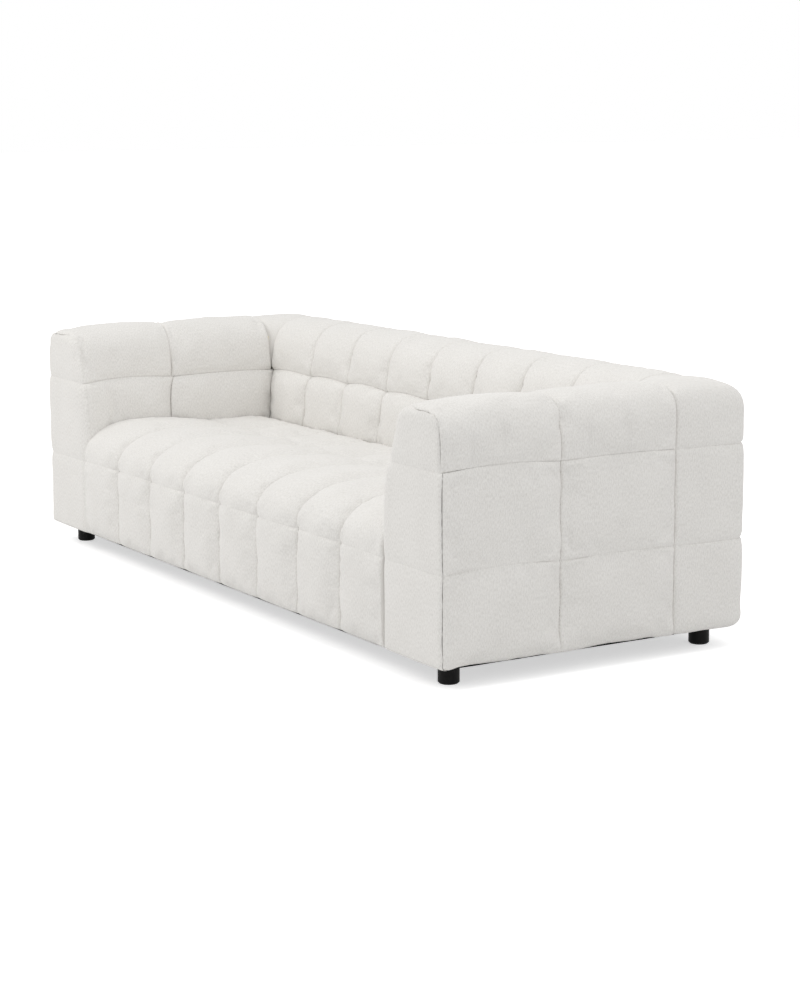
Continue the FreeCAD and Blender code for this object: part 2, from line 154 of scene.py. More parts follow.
def wood_finish(name, along, dark, pale, fine):
    """Long fibres along the grain, with broader bands of early and late wood."""
    material, tree, shader = new_finish(name, 0.62, 0.3)
    fibres = grain(tree, [fine * 0.03 if a else fine for a in along], 3.0)
    bands = grain(tree, [1.2 if a else 26.0 for a in along], Distortion=0.8)
    two_tones(tree, shader, combined(tree, "MULTIPLY", fibres, bands), 0.12, 0.36, dark, pale)
    raise_by(tree, shader, fibres, 0.25, 0.0006)
    return material


def set_finish(material, *names):
    """Gives CAD nodes a finish in place of their plain one."""
    for name in names:
        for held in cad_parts[name].material_slots:
            held.material = material


def sides(name):
    return ["left_" + name, "right_" + name]


birch_along, birch_across, birch_upright = (
    wood_finish("birch_along_" + axis, [a == axis for a in "xyz"], birch_dark, birch_pale, 900.0)
    for axis in "xyz"
)
hardboard = wood_finish("hardboard", (0, 0, 0), hardboard_dark, hardboard_pale, 700.0)
set_finish(birch_along, "front_rail", "rear_rail", "back_liner_rail", "back_top_board", "back_base_board")
set_finish(birch_across, "centre_cross_rail", "side_cross_rails", *sides("side_rail"))
set_finish(birch_across, *sides("arm_base_board"), *sides("arm_top_board"))
set_finish(birch_upright, "corner_blocks", "back_posts", *sides("arm_front_board"))
set_finish(birch_upright, *sides("arm_middle_board"), *sides("arm_rear_board"))
set_finish(hardboard, "back_outer_board", *sides("arm_outer_board"), *sides("arm_inner_board"))


# Springs, clips, bolts and nuts
# Drawn spring wire with a thin oil film, bent flat and held by pressed clips. Bolts and nuts are zinc plated.
def uneven_gloss(tree, shader, wire, low, high):
    """Roughness that follows a pattern."""
    gloss = add(tree, "MapRange", {"To Min": low, "To Max": high}, [("Value", *wire)])
    tree.links.new(gloss.outputs["Result"], shader.inputs["Roughness"])


def metal_finish(name, colour, streak, roughness):
    """Drawn or plated metal: fine streaks in the gloss and a little uneven colour."""
    material, tree, shader = new_finish(name, roughness, 0.5, 1.0)
    wear = grain(tree, streak, 4.0)
    two_tones(tree, shader, wear, 0.35, 0.65, [c * 0.7 for c in colour], colour)
    uneven_gloss(tree, shader, wear, roughness - 0.08, roughness + 0.12)
    raise_by(tree, shader, wear, 0.1, 0.0002)
    return material


spring_wire = metal_finish("spring_wire", (0.16, 0.16, 0.17), (60, 400, 400), 0.38)
set_finish(spring_wire, "seat_springs", "spring_clips")
set_finish(metal_finish("zinc", (0.62, 0.63, 0.66), (300, 300, 60), 0.34), "foot_bolts", "foot_nuts")


# Felt and foam
# Grey needled felt lies on the springs. The foams are cut blocks, with the open cells that the blade leaves.
def soft_finish(name, dark, pale, cell, depth):
    """A matt porous surface of small cells."""
    material, tree, shader = new_finish(name, 0.95, 0.1)
    cells = grain(tree, cell, 0.0, kind="TexVoronoi")
    cloud = grain(tree, 14.0, 3.0)
    two_tones(tree, shader, combined(tree, "ADD", cells, cloud), 0.5, 1.3, dark, pale)
    raise_by(tree, shader, cells, 0.5, depth)
    return material


foam = soft_finish("foam", (0.62, 0.53, 0.3), (0.76, 0.69, 0.45), 420.0, 0.001)
set_finish(foam, "seat_foam", "back_foam", *sides("arm_foam"))
set_finish(soft_finish("felt", (0.16, 0.16, 0.155), (0.33, 0.33, 0.32), 260.0, 0.0015), "deck_felt")


# Straps
# Woven elastic webbing, black with a fine rib across it, stapled at both ends and interlaced.
def strap_finish(name, across):
    """Ribs square to the strap's length, and yarns along it."""
    material, tree, shader = new_finish(name, 0.8, 0.2)
    ribs = grain(tree, 110.0, kind="TexWave", Distortion=0.4, bands_direction=across)
    yarns = combined(tree, "MULTIPLY", ribs, grain(tree, 600.0))
    two_tones(tree, shader, yarns, 0.05, 0.6, (0.008, 0.008, 0.009), (0.05, 0.05, 0.055))
    raise_by(tree, shader, ribs, 0.5, 0.0006)
    return material


set_finish(strap_finish("upright_strap", "Z"), "back_webbing_upright")
set_finish(strap_finish("level_strap", "X"), "back_webbing_level")


# Seat cover
# Eight channels sewn through ivory weave and fibre wadding, pulled over the rounded front edge and down
# the front, where a row of tucks crosses them. The seams fade towards the back, where sitting eases them.
half_width = 1.232
half_depth = 0.485
cover_bottom = 0.057
lower_row = 0.296
upper_row = 0.551
front_back = -0.46
channel_pitch = 0.2355
channel_count = 8
grid_step = 0.0075
level_reach = 0.01
seam_crease = 0.0045
row_crease = 0.0022
crease_width = 0.0022
full_crease_depth = 0.01
pinch_along, pinch_across = 0.03, 0.022
loose_reach = 0.05
bow_reach = 0.05
seam_sway = 0.0014
foam_gap = 0.002
edge_ease = 0.012
lining_step = 0.03
sharp_turn = math.radians(60)

weave_dark = (0.662, 0.646, 0.616)
weave_pale = (0.832, 0.818, 0.792)


def weave_finish(name):
    """Soft thick yarns, uneven in colour, with long flecks along the warp and a matt nap."""
    material, tree, shader = new_finish(name, 0.9, 0.15)
    shader.inputs["Sheen Weight"].default_value = 0.25
    shader.inputs["Sheen Roughness"].default_value = 0.5
    cloth = add(tree, "UVMap", {"uv_map": "cloth"}), "UV"
    flecks = grain(tree, (320, 120, 1), source=cloth)
    yarn = combined(tree, "MULTIPLY_ADD", grain(tree, (640, 300, 1), source=cloth), 0.45, flecks)
    mottled = combined(tree, "MULTIPLY_ADD", grain(tree, (9, 7, 1), 3.0, cloth), 0.22, yarn)
    two_tones(tree, shader, mottled, 0.45, 1.15, weave_dark, weave_pale)
    raise_by(tree, shader, yarn, 0.32, 0.001)
    return material


def new_mesh(name, points, faces, edges=()):
    mesh = bpy.data.meshes.new(name)
    mesh.from_pydata(np.reshape(points, (-1, 3)).tolist(), edges, faces)
    return mesh


def together(*parts):
    """Points, or places on the flat cloth, from their coordinates."""
    return np.stack(np.broadcast_arrays(*parts), axis=-1)


def run_length(points):
    return np.linalg.norm(np.diff(points, axis=0), axis=-1)


def added_up(steps):
    """Distances from the start of a line, from the lengths of its steps."""
    return np.concatenate(([0], np.cumsum(steps)))


def spline(rows, places):
    """Natural cubic through rows of numbers, read at shares of its length."""
    rows = np.array(rows, float)
    steps = run_length(rows[:, :2])
    at = added_up(steps)
    count = len(rows)
    matrix = np.eye(count)
    slopes = np.zeros_like(rows)
    for i in range(1, count - 1):
        matrix[i, i - 1:i + 2] = steps[i - 1], 2 * (steps[i - 1] + steps[i]), steps[i]
        slopes[i] = 6 * ((rows[i + 1] - rows[i]) / steps[i] - (rows[i] - rows[i - 1]) / steps[i - 1])
    bend = np.linalg.solve(matrix, slopes)
    where = np.asarray(places) * at[-1]
    i = np.clip(np.searchsorted(at, where, side="right") - 1, 0, count - 2)
    step = steps[i][:, None]
    b = ((where - at[i]) / steps[i])[:, None]
    a = 1 - b
    curve = a * rows[i] + b * rows[i + 1]
    return curve + ((a ** 3 - a) * bend[i] + (b ** 3 - b) * bend[i + 1]) * step ** 2 / 6


def closing(count):
    """Shares of a stretch from 0 to 1, close together at both ends, where the seams are."""
    return (1 - np.cos(np.pi * np.arange(count + 1) / count)) / 2


def count_for(length):
    return max(6, int(round(length / grid_step)))


def outline(*runs, first=None, last=None):
    """A cover's section, from its foot up the outside and over: runs of rows between two row seams.

    A row is (across, up, seam depth) and may go on with how far the arm's front end lies from it
    (across, up). Distances are along the cloth, and "ends" are the indices of the row seams.
    first, last: the sideways direction in which that point is drawn in, where it meets a cover.
    """
    rows, ends = [], [0]
    for run in runs:
        run = np.array([tuple(place) + (0.0,) * (5 - len(place)) for place in run])
        part = spline(run, closing(count_for(run_length(run[:, :2]).sum())))
        rows.append(part[1:] if rows else part)
        ends.append(len(part) - 1 + ends[-1])
    rows = np.concatenate(rows)
    points = rows[:, :2]
    along = np.gradient(points, axis=0)
    outward = together(-along[:, 1], along[:, 0])
    distance = added_up(run_length(points))
    for end, sideways in ((0, first), (-1, last)):
        if sideways is not None:
            beside = np.exp(-((distance - distance[end]) / level_reach) ** 2)[:, None]
            size = np.linalg.norm(outward, axis=1)[:, None]
            outward = (1 - beside) * outward + beside * np.array((sideways, 0)) * size
    outward /= np.linalg.norm(outward, axis=1)[:, None]
    return {
        "points": points, "outward": outward, "depths": np.maximum(rows[:, 2], 0),
        "distance": distance, "shift": rows[:, 3:5], "ends": ends,
    }


def from_seams(section, which):
    """Distances along the cloth from the nearest of those row seams."""
    places = section["distance"][[section["ends"][i] for i in which]]
    return np.abs(section["distance"][:, None] - places).min(axis=1)


def pads(count, lengths, fullness):
    """Places along a row of pads. The share of a seam's depth is 1 at the seam, 0 on a pad's crown."""
    number, part, shares, to_seam = [], [], [], []
    for i in range(count):
        places = closing(count_for(lengths[i]))[1 if i else 0:]
        number.append(np.full(len(places), i))
        part.append(places)
        shares.append(1 - np.sqrt(np.maximum(0, 1 - np.abs(2 * places - 1) ** fullness)))
        to_seam.append(lengths[i] * np.minimum(places, 1 - places))
    number, part = np.concatenate(number), np.concatenate(part)
    return {
        "number": number, "part": part, "shares": np.concatenate(shares),
        "to_seam": np.concatenate(to_seam), "nearest": number + (part >= 0.5),
    }


def between(row, table):
    """Values at every place of a row of pads, from a table with a line for each seam."""
    table = np.array(table)
    part = row["part"].reshape((-1,) + (1,) * (table.ndim - 1))
    return (1 - part) * table[row["number"]] + part * table[row["number"] + 1]


def waves(points, length, seed):
    """An even ripple in all directions, about one high, with waves about so long."""
    dice = np.random.default_rng(seed)
    total = 0
    for _ in range(7):
        direction = dice.normal(size=3)
        direction *= 2 * np.pi / length / np.linalg.norm(direction) * dice.uniform(0.7, 1.3)
        total = total + np.sin(points @ direction + dice.uniform(0, 2 * np.pi))
    return total / 2.6


def outward_of(sheet):
    """Unit directions square to a sheet of points."""
    normal = np.cross(np.gradient(sheet, axis=0), np.gradient(sheet, axis=1))
    return normal / np.maximum(np.linalg.norm(normal, axis=2), 1e-9)[..., None]


def grid_index(sheet):
    return np.arange(sheet[..., 0].size).reshape(sheet.shape[:2])


def grid_quads(index):
    """The four corners of every cell of a grid of indices."""
    return together(index[:-1, :-1], index[1:, :-1], index[1:, 1:], index[:-1, 1:])


cloth_step = 0.012
cloth_frames = 18
cloth_limit = 0.005
held_reach = 0.045
swell_rounds = 36


def coarse_places(distance, seams):
    """Indices about a cloth step apart along a line, with every seam among them."""
    chosen = []
    for start, end in zip(seams, seams[1:]):
        count = max(3, int(round((distance[end] - distance[start]) / cloth_step)))
        wanted = distance[start] + (distance[end] - distance[start]) * np.arange(count) / count
        chosen += np.abs(distance - wanted[:, None]).argmin(axis=1).tolist()
    return np.array(sorted(set(chosen + [seams[-1]])))


def swelling(height, held):
    """The broad part of a height over a grid that is nought where it is held."""
    for _ in range(swell_rounds):
        wide = np.pad(height, 1, mode="edge")
        height = (wide[:-2, 1:-1] + wide[2:, 1:-1] + wide[1:-1, :-2] + wide[1:-1, 2:] + height) / 5
        height[held] = 0
    return height


def read_at(places, known, values):
    """Values known along their first axis, read at other places, which become the second axis."""
    read = ([np.interp(places, known, values[:, i, k]) for i in range(values.shape[1])] for k in range(3))
    return together(*read)


def filled(sheet, columns, rows, loose):
    """The sheet after a cloth simulation: a little too much cloth, sewn down at its seams, over filling.

    A coarse, slightly larger copy is held at the seams and edges, and pressed out by the filling. The fine
    sheet follows its wrinkles without its broad swelling, since the sections have the pads' full heights.
    Loose rows are only held close to the upright seams.
    """
    along = added_up(run_length(sheet).mean(axis=1))
    around = added_up(np.linalg.norm(np.diff(sheet, axis=1), axis=2).mean(axis=0))
    use_columns, use_rows = coarse_places(along, columns), coarse_places(around, sorted(rows + loose))
    coarse = sheet[np.ix_(use_columns, use_rows)]
    index = grid_index(coarse)
    quads = grid_quads(index).reshape(-1, 4)
    if facing(coarse, outward_of(coarse)) < 0:
        quads = quads[:, ::-1]
    proxy = put("cloth_proxy", new_mesh("cloth_proxy", coarse, quads.tolist()))
    held = proxy.vertex_groups.new(name="sewn")
    close = np.abs(along[use_columns][:, None] - along[columns]).min(axis=1) < held_reach
    at_seam = np.isin(use_columns, columns)[:, None] | np.isin(use_rows, rows)[None, :]
    at_seam |= np.isin(use_rows, loose)[None, :] & close[:, None]
    held.add(index[at_seam].tolist(), 1.0, "REPLACE")
    cloth = proxy.modifiers.new("cloth", "CLOTH")
    setting = cloth.settings
    setting.vertex_group_mass = "sewn"
    setting.quality = 6
    setting.mass = 0.25
    setting.tension_stiffness = setting.compression_stiffness = 18
    setting.shear_stiffness = 6
    setting.bending_stiffness = 0.35
    setting.tension_damping = setting.compression_damping = setting.shear_damping = 12
    setting.air_damping = 3
    setting.use_pressure = True
    setting.uniform_pressure_force = 3.5
    setting.shrink_min = -0.03
    setting.effector_weights.gravity = 0
    cloth.collision_settings.use_collision = False
    cloth.point_cache.frame_start = 1
    cloth.point_cache.frame_end = cloth_frames
    for moment in range(1, cloth_frames + 1):
        scene.frame_set(moment)
    settled = proxy.evaluated_get(bpy.context.evaluated_depsgraph_get()).data
    moved = np.zeros(len(settled.vertices) * 3, np.float32)
    settled.vertices.foreach_get("co", moved)
    move = moved.reshape(coarse.shape) - coarse
    bpy.data.objects.remove(proxy)
    scene.frame_set(1)
    normal = outward_of(coarse) * facing(coarse, outward_of(coarse))
    move = move - normal * swelling((move * normal).sum(axis=2), at_seam)[..., None]
    size = np.linalg.norm(move, axis=2, keepdims=True)
    move = move * (cloth_limit * np.tanh(size / cloth_limit) / np.maximum(size, 1e-9))
    return sheet + read_at(around, around[use_rows], read_at(along, along[use_columns], move))


# Creases that sitting and sewing leave: two ends, depth and width
creases = (
    ((-0.985, 0.262, 0.655), (-0.935, 0.292, 0.69), 0.003, 0.006),
    ((-0.975, 0.185, 0.545), (-0.965, 0.178, 0.4), 0.0045, 0.007),
    ((0.972, 0.18, 0.545), (0.962, 0.172, 0.4), 0.0035, 0.007),
    ((0.985, 0.262, 0.65), (0.95, 0.3, 0.7), 0.0025, 0.007),
)


def creased(points):
    """How deep each point lies in the creases."""
    depth = 0
    for start, end, deep, wide in creases:
        start, way = np.array(start), np.array(end) - np.array(start)
        share = np.clip((points - start) @ way / (way @ way), 0, 1)
        gap = points - start - share[..., None] * way
        fade = np.sin(np.pi * (0.08 + 0.84 * share)) ** 0.7
        depth = depth + deep * fade * np.exp(-(gap ** 2).sum(axis=-1) / (2 * wide ** 2))
    return depth


def eased(sheet, to_seam, puckers, seed, to_edge):
    """The cloth's own swells, creases and gathers, less near edges that another cover meets."""
    normal = outward_of(sheet) * (1 - np.exp(-(to_edge / edge_ease) ** 2))[..., None]
    height = 0.0012 * waves(sheet, 0.16, seed) + 0.0004 * waves(sheet, 0.05, seed + 1) - creased(sheet)
    near = np.exp(-to_seam / 0.022) * (1 - np.exp(-to_seam / 0.004))
    height = height + puckers * near * waves(sheet, 0.028, seed + 2)
    return sheet + normal * height[..., None]


def dress_closed(name, sheet, cloth, lining):
    """A closed cover: a sheet of points (along, round, 3), its lining behind it, and flat ends."""
    ring = np.concatenate((sheet, lining), axis=1)
    points, index = ring.reshape(-1, 3), grid_index(ring)
    quads = grid_quads(np.concatenate((index, index[:, :1]), axis=1)).reshape(-1, 4)
    faces = quads.tolist() + [index[0].tolist(), index[-1][::-1].tolist()]
    mesh = new_mesh(name + ".quilted", points, faces)
    corners = points[quads] - points.mean(axis=0)
    if sum((corners[:, 0] * np.cross(corners[:, i], corners[:, i + 1])).sum() for i in (1, 2)) < 0:
        mesh.flip_normals()
    behind = cloth[:, -1:, 1] + lining_step * np.arange(1, lining.shape[1] + 1)
    behind = together(cloth[:, -1:, 0], behind)
    set_cloth(mesh, np.concatenate((cloth, behind), axis=1).reshape(-1, 2))
    dress(name, mesh)


def set_cloth(mesh, places):
    """Each point's place on the flat cloth, in metres, and soft shading."""
    corner_points = np.zeros(len(mesh.loops), np.int32)
    mesh.loops.foreach_get("vertex_index", corner_points)
    layer = mesh.uv_layers.new(name="cloth")
    layer.data.foreach_set("uv", places[corner_points].astype(np.float32).ravel())
    mesh.shade_smooth()
    mesh.set_sharp_from_angle(angle=sharp_turn)


ivory_weave = weave_finish("ivory_weave")


def dress(name, mesh):
    """Puts a finished cover in place of the plain solid of the same name."""
    mesh.materials.append(ivory_weave)
    piece = put(name + ".quilted", mesh)
    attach(piece, "root")
    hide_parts(name)


def along_of(row, seams, across):
    """Places along a row of pads, whose seams are planes (offset, slope) that may lean."""
    count = across.shape[-1]
    offset, slope = (between(row, [np.zeros(count) + seam[i] for seam in seams]) for i in (0, 1))
    return offset + slope * across


def resampled(line, shares):
    line = np.array(line, float)
    length = added_up(run_length(line))
    at = np.asarray(shares) * length[-1]
    return together(*(np.interp(at, length, part) for part in line.T))


def from_line(points, line):
    """Distance of each point from the nearest piece of a line."""
    gap = points[..., None, :] - resampled(line, np.linspace(0, 1, 400))
    return np.sqrt((gap ** 2).sum(axis=-1)).min(axis=-1)


def room_within(section, lining, shift):
    """How far the cloth can go in before it meets the foam, with the front end's shape or without."""
    near_end = section["distance"] > section["distance"][-1] - 0.02
    room = np.maximum(from_line(section["points"] + shift * section["shift"], lining) - foam_gap, 0.001)
    return np.where(near_end | (section["distance"] < 0.03), 1.0, room)


def kept_off(sheet, room, place, along, full, outward):
    """The sheet, moved out wherever it lies deeper under its full shape than it has room."""
    base = place(along, full[..., 0], full[..., 1])
    ahead = full + 0.001 * outward
    outward = (place(along, ahead[..., 0], ahead[..., 1]) - base) / 0.001
    excess = ((base - sheet) * outward).sum(axis=-1) - room
    return sheet + outward * np.maximum(excess, 0)[..., None]


# Paths of the upright seams, for the stitches
seam_paths = []
thread_lift = 0.0006


def facing(sheet, normal):
    """1 or -1: whether the normals of a sheet point away from its own middle."""
    return np.sign(((sheet - sheet.mean(axis=(0, 1))) * normal).sum())


def drawn_in(section, shares, strength, to_seam, crossing, pinch, loose=False):
    """How deep the cloth is drawn in: rounded pads, deeper where seams cross, and tight creases."""
    inward = shares * strength * section["depths"]
    inward = inward + pinch * strength * np.exp(-to_seam / pinch_along) * np.exp(-crossing / pinch_across)
    fade = np.clip(strength * section["depths"] / full_crease_depth, 0, 1)
    row_fade = np.exp(-to_seam / loose_reach) if loose else 1.0
    inward = inward + seam_crease * fade * np.exp(-to_seam / crease_width)
    return inward + row_crease * row_fade * np.exp(-crossing / crease_width)


def quilt(name, section, row, seams, strength, lining, place, seed, rows, joins, bows, pinch=0.006,
          loose=False, shift=0.0, lining_front=None):
    """A run of pads. Each seam is a plane (offset, slope) with its share of the seam depth.

    rows: the row seams within; joins: those shared with another cover; bows: how far each pad lifts them;
    pinch: how much deeper the seams lie where they cross; shift: shares of the front end's shape;
    lining_front: the plane where the lining's front end lies.
    """
    crossing = from_seams(section, rows)[None, :]
    to_seam = row["to_seam"][:, None]
    depth = between(row, strength)
    inward = drawn_in(section, row["shares"][:, None], depth, to_seam, crossing, pinch, loose)
    front = shift + np.zeros((len(row["part"]), 1))
    room = (1 - front) * room_within(section, lining, 0) + front * room_within(section, lining, 1)
    inward = inward / (1 + (inward / room) ** 8) ** 0.125
    full = section["points"] + front[..., None] * section["shift"]
    points = full - inward[..., None] * section["outward"]
    lift = np.array(bows)[row["number"]] * 4 * row["part"] * (1 - row["part"])
    points[..., 1] += lift[:, None] * np.exp(-(crossing / bow_reach) ** 2)
    along = along_of(row, seams, points[..., 0])
    sway = np.sin(section["distance"] * 41 + 1.9 * np.arange(len(seams))[:, None])
    sway[[0, -1]] = 0
    along = along + seam_sway * between(row, sway)
    sheet = place(along, points[..., 0], points[..., 1])
    cloth = together(along, section["distance"])
    inner_across, inner_up = np.array(lining).T
    behind_along = along_of(row, [lining_front or seams[0]] + seams[1:], inner_across)
    behind = place(behind_along, inner_across, inner_up)
    ends = np.where(row["nearest"] % row["nearest"].max() == 0, row["to_seam"], 1.0)[:, None]
    to_edge = np.minimum(ends, from_seams(section, joins)[None, :])
    upright = [i for i in range(1, len(sheet)) if row["part"][i] == 1]
    level = [section["ends"][i] for i in rows]
    held = {0, len(section["points"]) - 1} | set([] if loose else level)
    sheet = filled(sheet, [0] + upright, sorted(held), level if loose else [])
    sheet = eased(sheet, np.minimum(to_seam, crossing), 0.0006, seed, to_edge)
    sheet = kept_off(sheet, room, place, along, full, section["outward"])
    dress_closed(name, sheet, cloth, behind)
    normal = outward_of(sheet)
    seam_paths.extend(sheet[i] + thread_lift * facing(sheet, normal) * normal[i] for i in upright[:-1])
    return sheet[0]


def across_of(section):
    return section["points"][:, 0]


def up_of(section):
    return section["points"][:, 1]


seat_front = (
    (-0.464, 0.057, 0.003), (-0.472, 0.06, 0.007), (-0.48, 0.072, 0.011), (-0.484, 0.1, 0.016),
    (-0.488, 0.16, 0.021), (-0.4885, 0.23, 0.022), (-0.4875, 0.278, 0.02), (-0.485, 0.298, 0.016),
)
seat_top = (
    (-0.485, 0.298, 0.016), (-0.485, 0.318, 0.02), (-0.475, 0.353, 0.027), (-0.441, 0.39, 0.027),
    (-0.386, 0.415, 0.024), (-0.318, 0.427, 0.021), (-0.225, 0.428, 0.017), (-0.13, 0.417, 0.011),
    (-0.05, 0.403, 0.007), (0.015, 0.4015, 0.007), (0.08, 0.402, 0.006), (0.14, 0.3985, 0.005),
    (0.195, 0.39, 0.004),
)
seat_lining = (
    (0.195, 0.37), (-0.405, 0.37), (-0.443, 0.354), (front_back, 0.318), (front_back, 0.059),
)
seat_edge = channel_pitch * channel_count / 2
seat_end_strength = 0.25

section = outline(seat_front, seat_top)
row = pads(channel_count, [channel_pitch] * channel_count, 2.0)
seams = [(-seat_edge + i * channel_pitch, 0.0) for i in range(channel_count + 1)]
strength = np.ones((channel_count + 1, 1))
strength[[0, -1]] = seat_end_strength
quilt(
    "seat_cover", section, row, seams, strength, seat_lining, together, 11, rows=[1], joins=[0],
    bows=[0.002, 0.003, 0.001, 0.003, 0.002, 0.001, 0.003, 0.002], pinch=0.013, loose=True,
)


# Arm and back covers
# The same quilted weave, in rows of pads: two rows up the outside, one that rolls over the top, and one
# down the inside to the seat. They are sewn to each other at the row seams and stapled under the frame.
outer_low = (
    (0.027, 0.0572, 0.001), (0.012, 0.058, 0.003), (0.004, 0.068, 0.006), (0.001, 0.1, 0.01),
    (0.0000, 0.177, 0.012), (0.0005, 0.25, 0.011), (0.0018, 0.283, 0.008), (0.0038, 0.296, 0.004),
)
outer_middle = (
    (0.0038, 0.296, 0.004), (0.0018, 0.309, 0.008), (0.0005, 0.345, 0.011), (0.0000, 0.424, 0.012),
    (0.0005, 0.503, 0.011), (0.0018, 0.538, 0.008), (0.0038, 0.551, 0.004),
)
outer_lining = ((0.028, 0.551), (0.028, 0.059))
cap_top = (
    (0.0038, 0.5512, 0.004), (0.0018, 0.564, 0.008), (0.0008, 0.605, 0.011),
    (0.003, 0.66, 0.012, 0.002, -0.006), (0.016, 0.693, 0.01, 0.003, -0.009),
    (0.048, 0.711, 0.006, 0.002, -0.009), (0.118, 0.718, 0.005, -0.002, -0.011),
    (0.18, 0.708, 0.01, -0.003, -0.006), (0.218, 0.679, 0.016, -0.003, -0.004),
    (0.239, 0.636, 0.018, -0.004, 0.0), (0.248, 0.595, 0.017, 0.002, 0.0),
    (0.252, 0.564, 0.014, 0.01, 0.0), (0.247, 0.5462, 0.006, 0.018, 0.0),
)
cap_lining = (
    (0.206, 0.5462), (0.222, 0.62), (0.214, 0.655), (0.185, 0.69), (0.045, 0.692),
    (0.028, 0.678), (0.028, 0.5512),
)
inner_low = (
    (0.247, 0.546, 0.006, 0.018, 0.0), (0.259, 0.54, 0.011, 0.014, 0.0),
    (0.271, 0.518, 0.017, 0.01, 0.0), (0.28, 0.474, 0.018, 0.01, 0.0),
    (0.285, 0.415, 0.015, 0.01, 0.0), (0.286, 0.371, 0.01, 0.01, 0.0),
)
inner_lining = ((0.262, 0.371), (0.26, 0.44), (0.206, 0.546))
front_reach = 0.075
arm_pads = (0.343, 0.361)

back_pitch = 0.243
back_corner = 1.000
corner_lean = 0.02
arm_corner = 0.245
arm_corner_lean = 0.043
end_gap = 0.0003


def on_arm(side):
    """Places (along, in from the outer face, up) on the arm of that side."""
    return lambda along, across, up: together(side * (half_width - across), along, up)


def on_back(along, across, up):
    return together(along, half_depth - across, up)


def smooth(value):
    value = np.clip(value, 0, 1)
    return value * value * (3 - 2 * value)


outer_section = outline(outer_low, outer_middle, last=-1)
cap_section = outline(cap_top, first=-1, last=1)
inner_section = outline(inner_low, first=1)

# The front panel turns back to meet the arm's outside and top at a crisp mitred seam. Round the inside it
# runs on without a seam.
panel_thick = 0.019
panel_crown = 0.005
panel_pinch = 0.005
mitre_share = 0.72
mitre_end, mitre_fade = 0.205, 0.1
outer_round = 0.01
top_round = 0.02
inner_round = 0.04
foot_round = 0.01


def row_share(up):
    return np.exp(-np.abs(up - lower_row) / 0.016) + np.exp(-np.abs(up - upper_row) / 0.016)


def turned_edge(distance, radius):
    """Share of a pad's thickness beside an edge that it turns down to."""
    return np.sqrt(1 - (1 - np.clip(distance / radius, 0, 1)) ** 2)


def mitred(across):
    """How far the crisp seam reaches, from the outside over the top towards the inside."""
    return mitre_share * smooth((mitre_end - across) / mitre_fade)


def panel_edge(across, up):
    """The panel's thickness at its rim."""
    foot = turned_edge(up - cover_bottom, foot_round)
    return mitred(across) * foot * (panel_thick - panel_pinch * row_share(up))


outer_front = front_back + end_gap - panel_edge(0.0, up_of(outer_section))
cap_front = front_back + end_gap - panel_edge(across_of(cap_section), 0.62)
inner_front = front_back + 0.0001
cap_crisp = 0.9 * smooth((mitre_end - across_of(cap_section)) / mitre_fade)
cap_crisp = cap_crisp * (1 + 0.8 * smooth((up_of(cap_section) - 0.66) / 0.04))
cap_corner = 0.9 - 0.45 * smooth((across_of(cap_section) - 0.14) / 0.06)
# The back's upright seams lie flatter over the top
cap_over = smooth((0.222 - across_of(cap_section)) / 0.05) * smooth((across_of(cap_section) - 0.02) / 0.05)
cap_over = 1 - 0.5 * cap_over
# The arm's own seam lies deep over its outer shoulder
cap_deep = smooth((0.1 - across_of(cap_section)) / 0.06) * smooth((up_of(cap_section) - 0.6) / 0.06)
cap_deep = 1 + 0.95 * cap_deep

front_plane = (front_back + 0.0008, 0.0)
middle_seam = (-0.116, -0.085)
both_sides = ((1, "right"), (-1, "left"))
outer_line, cap_line, inner_line = {}, {}, {}
outer_end = (arm_corner, 0.0)
cap_end = (arm_corner, -arm_corner_lean)
inner_end = (half_depth - end_gap, -1.0)
slanted = (0.055, -0.79)
arm_bows = [0.01, 0.005]
row = pads(2, arm_pads, 2.6)
# Share of the front end's own outline along an arm
front_shape = np.exp(-(between(row, [[0], [arm_pads[0]], [sum(arm_pads)]]) / front_reach) ** 2)
for side, word in both_sides:
    outer_line[side] = quilt(
        word + "_arm_outer_cover", outer_section, row, [(outer_front, 0.0), middle_seam, outer_end],
        [[0.45], [1], [1]], outer_lining, on_arm(side), 21 + side, rows=[1, 2], joins=[2],
        bows=arm_bows, lining_front=front_plane,
    )
    cap_line[side] = quilt(
        word + "_arm_cap_cover", cap_section, row, [(cap_front, 0.0), middle_seam, cap_end],
        [cap_crisp, cap_deep, cap_corner], cap_lining, on_arm(side), 31 + side, rows=[0, 1], joins=[0, 1],
        bows=arm_bows, shift=front_shape, lining_front=front_plane,
    )
    inner_line[side] = quilt(
        word + "_arm_inner_cover", inner_section, row, [(inner_front, 0.0), slanted, inner_end],
        [[0], [0.75], [0.8]], inner_lining, on_arm(side), 41 + side, rows=[0], joins=[0],
        bows=arm_bows, shift=front_shape, lining_front=front_plane,
    )


def back_row(end, end_share, strength, fullness):
    """The back's eight pads between its end seams."""
    seams = [(-end[0], -end[1])] + [(i * back_pitch, 0.0) for i in range(-3, 4)] + [end]
    strengths = [strength * end_share] + [strength] * 7 + [strength * end_share]
    return pads(8, [0.26] + [back_pitch] * 6 + [0.26], fullness), seams, strengths


